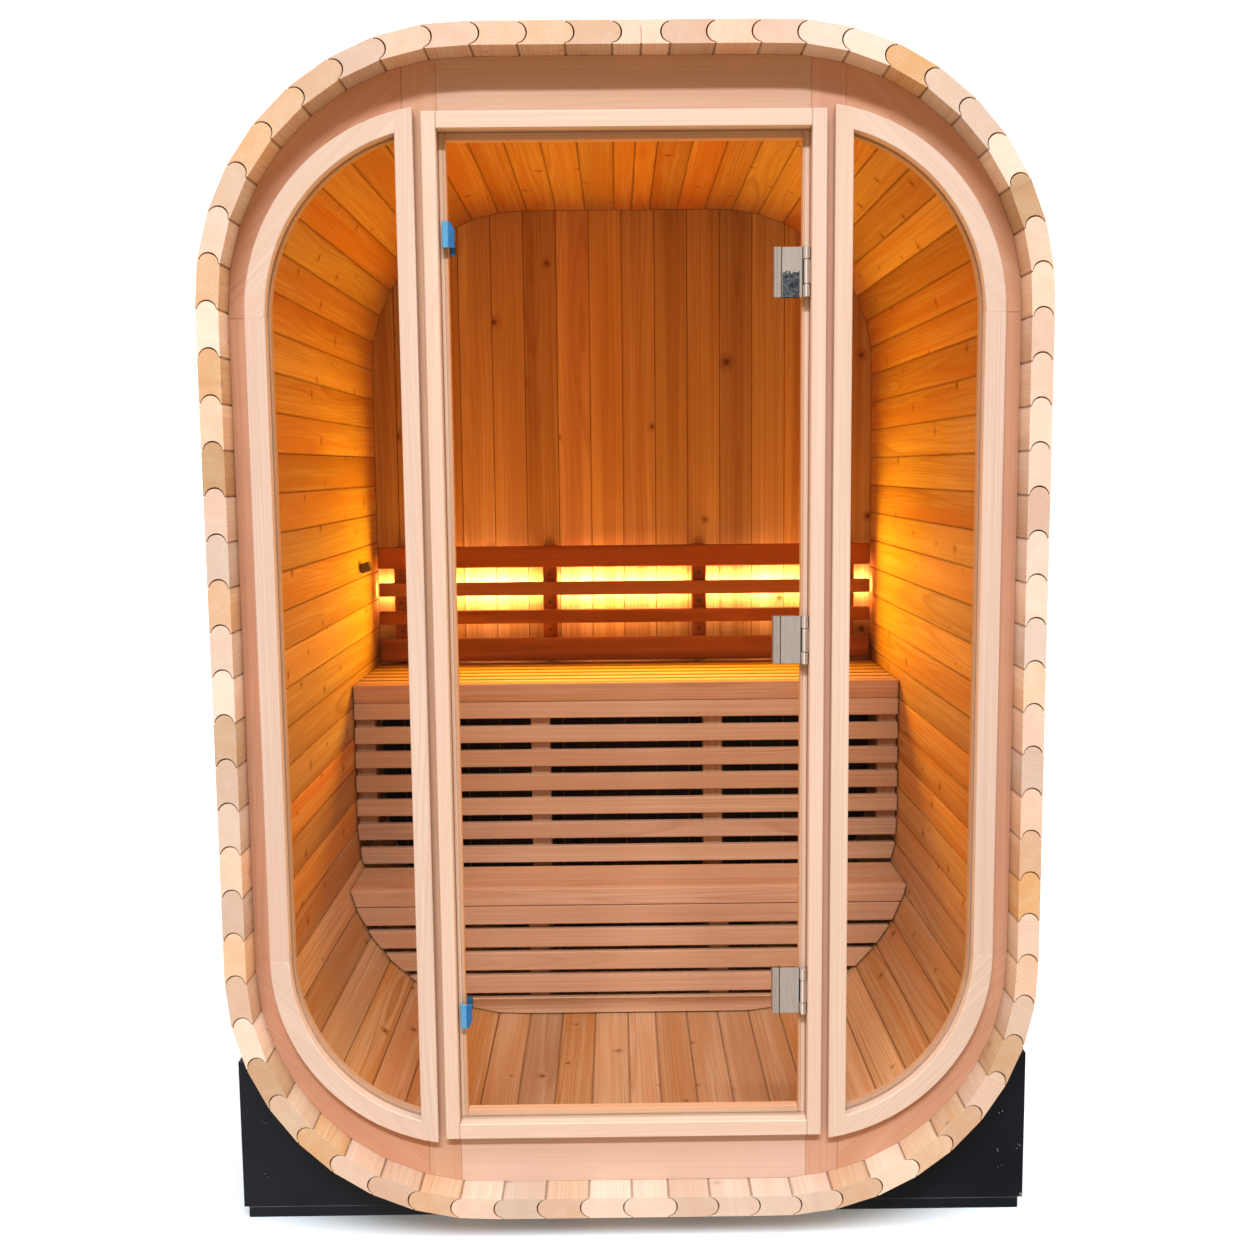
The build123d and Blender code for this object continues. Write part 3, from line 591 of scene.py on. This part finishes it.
def brushedSteel(name, grooves, film=None):
    material, tree = newMaterial(name)
    place = addNode(tree, "TexCoord").outputs["Object"]
    axes = addNode(tree, "SeparateXYZ", links={0: place}).outputs
    wide, long = steelFinish["strokeWide"] * mm, steelFinish["strokeLong"] * mm
    stroke = (1 / wide, 1 / wide, 1 / long)
    lines = addNode(tree, "VectorMath", {**times, 1: stroke}, {0: place})
    brush = addNode(tree, "TexNoise", {"Scale": 1.0, "Detail": 2.0}, {"Vector": lines})
    rough = addNode(tree, "MapRange", {3: 0.2, 4: 0.32}, {0: brush})
    tone = addNode(tree, "ValToRGB", {"stops": [(0.25, "#d3c4ba"), (0.75, "#e9dbd1")]}, {0: brush})
    if film:  # a mottled dark patch, taken for the last of a torn protective film
        blot = 1 / (steelFinish["mottle"] * mm)
        mottle = addNode(tree, "TexNoise", {"Scale": blot, "Detail": 2.0}, {"Vector": place})
        tear = {"operation": "MULTIPLY_ADD", 1: steelFinish["tear"] * mm, 2: -steelFinish["tear"] * mm / 2}
        ragged = addNode(tree, "Math", tear, {0: mottle})
        height = addNode(tree, "Math", plus, {0: axes[2], 1: ragged})
        low = addNode(tree, "Math", {**below, 1: film["top"]}, {0: height})
        middle = addNode(tree, "Math", {**less, 1: film["centre"]}, {0: axes[0]})
        middle = addNode(tree, "Math", unsigned, {0: middle})
        inside = addNode(tree, "Math", {**below, 1: film["half"]}, {0: middle})
        share = addNode(tree, "Math", times, {0: low, 1: inside})
        grey = addNode(tree, "ValToRGB", {"stops": [(0.35, "#33373d"), (0.65, "#7d8288")]}, {0: mottle})
        tone = addNode(tree, "Mix", rgba, {0: share, 6: tone, 7: grey}).outputs[2]
    for x, wide, dark in grooves:  # painted shade, with some grime, in the grooves beside the ribs and the knuckle
        line = addNode(tree, "Math", {"operation": "COMPARE", 1: x, 2: wide * mm / 2}, {0: axes[0]})
        line = addNode(tree, "Math", {**times, 1: dark}, {0: line})
        tone = addNode(tree, "Mix", {**rgba, 7: hexToLinear("#453c38")}, {0: line, 6: tone}).outputs[2]
    bump = addNode(tree, "Bump", {"Strength": 0.12, "Distance": 0.05 * mm}, {"Height": brush})
    surface = {"Base Color": tone, "Roughness": rough, "Normal": bump}
    shader = addNode(tree, "BsdfPrincipled", {"Metallic": 0.75}, surface)
    addNode(tree, "OutputMaterial", links={"Surface": shader})
    return material


# small mouldings: even colour with a fine grit left by the mould
def mouldedPlastic(name, colour, grit, rough):
    material, tree = newMaterial(name)
    place = addNode(tree, "TexCoord").outputs["Object"]
    grain = addNode(tree, "TexNoise", {"Scale": 1 / (grit * mm), "Detail": 2.0}, {"Vector": place})
    tone = addNode(tree, "ValToRGB", {"stops": [(0.3, colour[0]), (0.7, colour[1])]}, {0: grain})
    bump = addNode(tree, "Bump", {"Strength": 0.15, "Distance": 0.1 * mm}, {"Height": grain})
    surface = {"Base Color": tone, "Normal": bump}
    shader = addNode(tree, "BsdfPrincipled", {"IOR": 1.49, "Roughness": rough}, surface)
    addNode(tree, "OutputMaterial", links={"Surface": shader})
    return material


# mm from the plate's left edge; a groove is (place, width, darkness) of a line of painted shade
hinges = {
    "levels": ("upper", "middle", "lower"), "ease": 0.5, "filmFrom": 16, "filmTo": 46.5, "slotTall": 45,
    "grooves": [(1.0, 1.4, 0.7), (8.2, 2.0, 0.35), (14.4, 1.7, 1.0), (52.0, 2.0, 1.0)],
    "gasketFrom": 51, "gasketTo": 56, "gasketThick": 0.65, "gasketEase": 0.15,
    "sealThick": 1.3, "sealFront": 14, "sealBack": 4, "sealEase": 0.3,
}
low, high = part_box("hinge_plate_upper")
filmEnds = [low.x + hinges[end] * mm for end in ("filmFrom", "filmTo")]
upperFilm = {"top": (low.z + high.z) / 2, "centre": sum(filmEnds) / 2,
             "half": (filmEnds[1] - filmEnds[0]) / 2}
grooves = [(low.x + at * mm, wide, dark) for at, wide, dark in hinges["grooves"]]
hingeSteel = brushedSteel("brushed stainless sheet", grooves)
filmedSteel = brushedSteel("brushed stainless sheet with film", grooves, upperFilm)
gasketShadeRubber = mouldedPlastic("moulded black rubber", ("#0d0c0c", "#161515"), 2, 0.6)
for level in hinges["levels"]:
    solid = "hinge_plate_" + level
    finish = filmedSteel if level == "upper" else hingeSteel
    plate = easedCopy([solid], hinges["ease"] * mm)
    makePiece(plate, level + "_hinge_leaf", "door", finish, [solid])
leaves = easedCopy(["hinge_leaves"], hinges["ease"] * mm)
makePiece(leaves, "jamb_hinge_leaves", "sauna", hingeSteel, ["hinge_leaves"])


# black rubber gaskets on the glass behind each knuckle slot, which also stand for the deep shade in the
# slots, and a strip of painted shade on the jamb beside each knuckle, for the dark gap there
def addSlab(bm, low, high):
    made = bmesh.ops.create_cube(bm, size=1.0)["verts"]
    for v in made:
        v.co = Vector([low[i] if v.co[i] < 0 else high[i] for i in range(3)])


gaskets, seals = bmesh.new(), bmesh.new()
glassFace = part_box("door_glass")[0].y
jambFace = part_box("hinge_leaves")[1].x
for level in hinges["levels"]:
    low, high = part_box("hinge_plate_" + level)
    middle, half = (low.z + high.z) / 2, hinges["slotTall"] * mm / 2
    left, right = low.x + hinges["gasketFrom"] * mm, low.x + hinges["gasketTo"] * mm
    front = glassFace - hinges["gasketThick"] * mm
    addSlab(gaskets, (left, front, middle - half), (right, glassFace, middle + half))
    # painted shade: a black strip for the dark gap beside the knuckle
    front, back = high.y - hinges["sealFront"] * mm, high.y - hinges["sealBack"] * mm
    addSlab(seals, (jambFace - hinges["sealThick"] * mm, front, low.z), (jambFace, back, high.z))
easeEdges(gaskets, hinges["gasketEase"] * mm)
easeEdges(seals, hinges["sealEase"] * mm)
makePiece(gaskets, "hinge_gaskets", "door", gasketShadeRubber, None)
makePiece(seals, "jamb_hinge_seals", "sauna", gasketShadeRubber, None)

clips = {"ease": 0.8, "gripWide": 11}
clipFinishes = [mouldedPlastic("moulded light blue polypropylene", ("#469ad8", "#62b4ea"), 3, 0.4),
                mouldedPlastic("moulded blue polypropylene", ("#1c62a4", "#2a78bc"), 3, 0.42),
                mouldedPlastic("moulded navy rubber", ("#12222e", "#1c3444"), 2, 0.5)]
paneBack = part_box("door_glass")[1].y
for level in ("upper", "lower"):
    solid = "door_clip_" + level
    bm = easedCopy([solid], clips["ease"] * mm)
    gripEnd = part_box(solid)[0].x + clips["gripWide"] * mm
    for face in bm.faces:  # grip, flange, and the pad behind the glass
        middle = face.calc_center_median()
        face.material_index = 2 if middle.y > paneBack else 1 if middle.x > gripEnd else 0
    makePiece(bm, level + "_edge_clip", "door", clipFinishes, [solid])

sensor = {"ease": 1.0}
sensorPlastic = mouldedPlastic("moulded grey-brown ABS", ("#5d4e42", "#78675a"), 1.5, 0.5)
housing = easedCopy(["wall_sensor"], sensor["ease"] * mm)
makePiece(housing, "sensor_housing", "sauna", sensorPlastic, ["wall_sensor"])


# light strip: silicone-sleeved amber diodes, bright enough to burn out the boards beside it
def lightSleeve():
    material, tree = newMaterial("silicone light sleeve")
    shader = addNode(tree, "BsdfPrincipled", {
        "Base Color": hexToLinear("#ffd9a0"), "Roughness": 0.5, "IOR": 1.41,
        "Emission Color": strip["amber"], "Emission Strength": strip["glow"],
    })
    addNode(tree, "OutputMaterial", links={"Surface": shader})
    return material


strip = {"glow": 100.0, "amber": (1.0, 0.53, 0.22, 1), "ease": 1.5}
sleevePlastic = mouldedPlastic("moulded white silicone", ("#e8d9bf", "#f2e6d0"), 2, 0.5)
sleeves = easedCopy(["light_strip"], strip["ease"] * mm)
for face in sleeves.faces:  # the diodes look at the back wall
    face.material_index = 1 if face.normal.y > 0.5 else 0
finish = [sleevePlastic, lightSleeve()]
makePiece(sleeves, "light_strip_sleeves", "sauna", finish, ["light_strip"])


# cradles: folded steel sheet, satin black powder coat with a fine orange peel, lighter along the folds and
# eased edges: partly rubbed wear, partly a painted highlight
coatFinish = {"peel": 2.5, "peelDeep": 0.15, "cloud": 140, "glossSpread": 0.08}  # sizes in mm


def powderCoat(name, tones, rough, marks):
    material, tree = newMaterial(name)
    place = addNode(tree, "TexCoord").outputs["Object"]
    fine, broad = 1 / (coatFinish["peel"] * mm), 1 / (coatFinish["cloud"] * mm)
    peel = addNode(tree, "TexNoise", {"Scale": fine, "Detail": 2.0}, {"Vector": place})
    cloud = addNode(tree, "TexNoise", {"Scale": broad, "Detail": 4.0}, {"Vector": place})
    tone = addNode(tree, "ValToRGB", {"stops": [(0.3, tones[0]), (0.7, tones[1])]}, {0: cloud})
    for x, z, lean, long, wide in marks:  # scratches through to the primer
        shift = {"vector_type": "TEXTURE", 1: (x * mm, 0, z * mm), 2: (0, math.radians(lean), 0)}
        spot = addNode(tree, "Mapping", shift, {0: place})
        size = (1 / (long * mm / 2), 0, 1 / (wide * mm / 2))
        spot = addNode(tree, "VectorMath", {**times, 1: size}, {0: spot})
        spot = addNode(tree, "VectorMath", lengthOf, {0: spot}).outputs["Value"]
        spot = addNode(tree, "MapRange", {1: 0.5, 2: 1.0, 3: 0.8, 4: 0.0}, {0: spot})
        tone = addNode(tree, "Mix", {**rgba, 7: hexToLinear("#8d8f94")}, {0: spot, 6: tone}).outputs[2]
    spread = coatFinish["glossSpread"]
    gloss = addNode(tree, "MapRange", {3: rough - spread, 4: rough + spread}, {0: cloud})
    relief = {"Strength": 0.2, "Distance": coatFinish["peelDeep"] * mm}
    bump = addNode(tree, "Bump", relief, {"Height": peel})
    surface = {"Base Color": tone, "Roughness": gloss, "Normal": bump}
    shader = addNode(tree, "BsdfPrincipled", {"IOR": 1.5, "Specular IOR Level": 0.22}, surface)
    addNode(tree, "OutputMaterial", links={"Surface": shader})
    return material


# scratches are (x, z, lean in degrees, length, width), bolts are (radius, height, star), all in mm
cradles = {
    "ease": 1.2, "boltX": 712, "boltZ": (85, 195),
    "scratches": [(707, 118, 75, 11, 2.2), (749, 128, 35, 12, 1.6), (744, 121, -30, 7, 1.2),
                  (754, 27, 80, 10, 7)],
    "bolt": [(3.7, -5), (3.7, -1.6), (3.1, -0.9), (1.9, -0.7), (1.7, -0.8, 0.8), (1.5, -2.2, 0.8)],
}
blackCoat = powderCoat("satin black powder coat", ("#0d1118", "#151a23"), 0.46, cradles["scratches"])
rubbedHighlightCoat = powderCoat("rubbed black powder coat, painted highlight", ("#3b3e45", "#54575e"), 0.34, [])
for solid in ("front_cradle", "rear_cradle", "front_base_rail", "rear_base_rail"):
    bm = easedCopy([solid], cradles["ease"] * mm)
    # the eased edges take the lighter coat: wear and a painted highlight
    makePiece(bm, solid + "_sheet", "sauna", [blackCoat, rubbedHighlightCoat], [solid])

bolts = bmesh.new()
for solid, outward in (("front_cradle", -1), ("rear_cradle", 1)):
    low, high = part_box(solid)
    face = low.y if outward < 0 else high.y
    for side in (-1, 1):
        for height in cradles["boltZ"]:
            at = (side * cradles["boltX"] * mm, face, height * mm)
            turnedSolid(bolts, at, (0, outward, 0), cradles["bolt"])
makePiece(bolts, "cradle_bolts", "sauna", blackCoat, None)

# one screw in each batten, in each gap between the rails
screws = {"head": [(3.0, -6), (3.4, -0.2), (4.6, 0.4), (4.3, 1.0), (2.7, 1.2), (2.3, 1.1, 0.75),
                   (2.0, -0.6, 0.75)]}
zincSteel = powderCoat("dark zinc-plated steel", ("#3a2a1e", "#4d3a2a"), 0.45, [])


def spansOf(name, axis):
    bm = easedCopy([name], 0)
    spans = [(min(v.co[axis] for v in group), max(v.co[axis] for v in group)) for group in islandsOf(bm)]
    bm.free()
    return sorted(spans)


rails = spansOf("backrest_rails", 2)
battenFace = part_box("backrest_battens")[0].y
heads = bmesh.new()
for left, right in spansOf("backrest_battens", 0):
    for lower, upper in zip(rails, rails[1:]):
        at = ((left + right) / 2, battenFace, (lower[1] + upper[0]) / 2)
        turnedSolid(heads, at, (0, -1, 0), screws["head"])
makePiece(heads, "batten_screws", "sauna", zincSteel, None)
print("metal and glass fitted")

# studio: pale floor with its own wash, white surround, one soft key above the camera, a weak overhead sun,
# warm light from both sides and from below, and the amber that the strip sends out between the backrest rails
studio = {
    "key": {"place": (-0.8, -13.84, 14.02), "aim": (0.0, -0.8, 0.9), "wide": 9.0, "tall": 1.0, "watts": 3200,
            "colour": (0.95, 0.985, 1.0)},
    "amber": {"place": (0, 0.63, 1.15), "tilt": -92, "wide": 1.12, "tall": 0.22, "watts": 15.8,
              "colour": (1.0, 0.55, 0.005)},
    "overhead": {"strength": 0.7, "spread": 70, "tilt": 0, "lean": 0},
    "floorWash": {"strength": 4.0, "spread": 58, "tilt": 22, "lean": 6},
    "floor": "#e6edf8", "floorFill": (0.0, 0.065, 0.092), "floorSpan": 40.0,
    "sky": (0.13, 0.125, 0.12), "ground": (0.66, 0.405, 0.21), "sides": (5.4, 4.1, 2.85), "leftShare": 0.65,
    "paper": 1.25, "panelGlow": 1.9,
    "panels": [(0.0, 0.3), (0.28, 1.0), (0.4, 0.26), (0.56, 0.28), (0.7, 0.03), (1.0, 0.2)],
}
lamps = {}
for name, label in (("key", "key_softbox"), ("amber", "amber_glow")):
    lamp = bpy.data.lights.new(label, "AREA")
    lamp.shape = "RECTANGLE"
    lamp.size, lamp.size_y = studio[name]["wide"], studio[name]["tall"]
    lamp.energy, lamp.color = studio[name]["watts"], studio[name]["colour"]
    lamps[name] = bpy.data.objects.new(label, lamp)
    lamps[name].location = studio[name]["place"]
    lamps[name].visible_camera = False
for name in ("overhead", "floorWash"):
    lamp = bpy.data.lights.new(name, "SUN")
    lamp.energy, lamp.angle = studio[name]["strength"], math.radians(studio[name]["spread"])
    lamps[name] = bpy.data.objects.new(name, lamp)
    lamps[name].location = (0, 0, 6)
    lamps[name].rotation_euler = (math.radians(studio[name]["tilt"]), math.radians(studio[name]["lean"]), 0)
toAim = Vector(studio["key"]["aim"]) - lamps["key"].location
lamps["key"].rotation_euler = toAim.to_track_quat("-Z", "Y").to_euler()
lamps["amber"].rotation_euler = (math.radians(studio["amber"]["tilt"]), 0, 0)
lamps["amber"].visible_glossy = lamps["amber"].visible_transmission = False
for name in ("key", "overhead", "floorWash", "amber"):
    scene.collection.objects.link(lamps[name])

floorMesh = bpy.data.meshes.new("studio_floor")
span = studio["floorSpan"]
corners = [(-span, -span, 0), (span, -span, 0), (span, span, 0), (-span, span, 0)]
floorMesh.from_pydata(corners, [], [(0, 1, 2, 3)])
floor = bpy.data.objects.new("studio_floor", floorMesh)
scene.collection.objects.link(floor)
floorPaint, floorTree = newMaterial("pale floor paint")
floorShader = addNode(floorTree, "BsdfPrincipled", {  # a little cool light keeps the shadow neutral
    "Base Color": hexToLinear(studio["floor"]), "Roughness": 0.9,
    "Emission Color": (*studio["floorFill"], 1), "Emission Strength": 1.0,
})
addNode(floorTree, "OutputMaterial", links={"Surface": floorShader})
floorMesh.materials.append(floorPaint)
floor.visible_diffuse = False  # the light from below is the surround's, so the floor can be washed white
floor.visible_glossy = False

floorOnly = bpy.data.collections.new("floor_only")
floorOnly.objects.link(floor)
lamps["floorWash"].light_linking.receiver_collection = floorOnly
# the key is flagged off the floor, which has its own light, and off the lining, which has the strip's
keyOff = bpy.data.collections.new("key_flagged_off")
for dark, item in enumerate((floor, backBoards)):
    keyOff.objects.link(item)
    keyOff.collection_objects[dark].light_linking.link_state = "EXCLUDE"
lamps["key"].light_linking.receiver_collection = keyOff

world = bpy.data.worlds.new("white surround")
scene.world = world
world.use_nodes = True
surround = world.node_tree
surround.nodes.clear()
toward = addNode(surround, "TexCoord").outputs["Generated"]
way = addNode(surround, "SeparateXYZ", links={0: toward}).outputs
level = addNode(surround, "MapRange", {1: -0.3, 2: 0.3}, {0: way[2]})
pair = {6: (*studio["ground"], 1), 7: (*studio["sky"], 1)}
tint = addNode(surround, "Mix", {**rgba, **pair}, {0: level}).outputs[2]
right = addNode(surround, "MapRange", {1: 0.6, 2: 0.9}, {0: way[0]})
left = addNode(surround, "MapRange", {1: -0.6, 2: -0.9, 4: studio["leftShare"]}, {0: way[0]})
aside = addNode(surround, "Math", plus, {0: right, 1: left})
aloft = addNode(surround, "MapRange", {1: 0.0, 2: 0.4}, {0: way[2]})
aside = addNode(surround, "Math", times, {0: aside, 1: aloft})
tint = addNode(surround, "Mix", {**rgba, 7: (*studio["sides"], 1)}, {0: aside, 6: tint}).outputs[2]
fill = addNode(surround, "Background", links={"Color": tint})
# what metal and glass mirror: a white panel at the left, dark at the right
panels = addNode(surround, "MapRange", {1: -1.0, 2: 1.0}, {0: way[0]})
panels = addNode(surround, "ValToRGB", {"stops": studio["panels"]}, {0: panels})
mirrored = addNode(surround, "Background", {"Strength": studio["panelGlow"]}, {"Color": panels})
paper = addNode(surround, "Background", {"Color": (1, 1, 1, 1), "Strength": studio["paper"]})
path = addNode(surround, "LightPath").outputs
fill = addNode(surround, "MixShader", links={0: path["Is Glossy Ray"], 1: fill, 2: mirrored})
both = addNode(surround, "MixShader", links={0: path["Is Camera Ray"], 1: fill, 2: paper})
addNode(surround, "OutputWorld", links={"Surface": both})

scene.view_settings.view_transform = "Standard"
scene.cycles.max_bounces = 8
scene.cycles.diffuse_bounces = 2
scene.cycles.glossy_bounces = 2

# camera: stands before the door, a little above mid-height
shot = {"place": (-0.0202, -3.2855, 1.4405), "turn": (83.4713, 0.5418, -0.4447), "lens": 39.865, "sensor": 36,
        "near": 0.05, "far": 200}
lensData = bpy.data.cameras.new("camera")
lensData.lens, lensData.sensor_width = shot["lens"], shot["sensor"]
lensData.clip_start, lensData.clip_end = shot["near"], shot["far"]
camera = bpy.data.objects.new("camera", lensData)
camera.location = shot["place"]
camera.rotation_euler = [math.radians(a) for a in shot["turn"]]
scene.collection.objects.link(camera)
scene.camera = camera
print("studio set")
